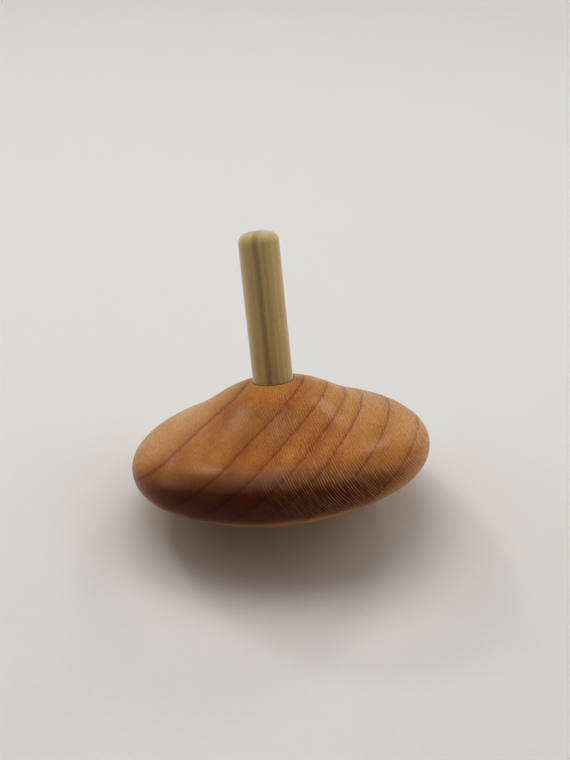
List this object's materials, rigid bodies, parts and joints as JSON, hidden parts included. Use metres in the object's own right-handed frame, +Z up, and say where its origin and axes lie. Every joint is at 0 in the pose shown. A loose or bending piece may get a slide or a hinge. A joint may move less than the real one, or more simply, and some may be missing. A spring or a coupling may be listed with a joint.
{
  "type": "spinning top",
  "caption": "Finger-twirled spinning top: a turned wooden disc with a domed crown on a straight dowel stem with a rounded tip, stored at rest, leaning on its tip and belly.",
  "frame": {"origin": "the point where the tip touches the table, with the top at rest", "axes": "+Z up from the table, +Y the way the stem leans at rest, +X to the right of someone who looks along +Y"},
  "size_m": [0.0476, 0.0459, 0.0454],
  "materials": {
    "disc_wood": "cherry, hand-rubbed satin oil",
    "stem_wood": "yellow poplar, sanded, almost matt",
    "dried_glue": "dried wood glue, dark amber"
  },
  "bodies": {
    "root": {"disc_body": "disc_wood", "stem_dowel": "stem_wood", "glue_line": "dried_glue"}
  },
  "joints": []
}
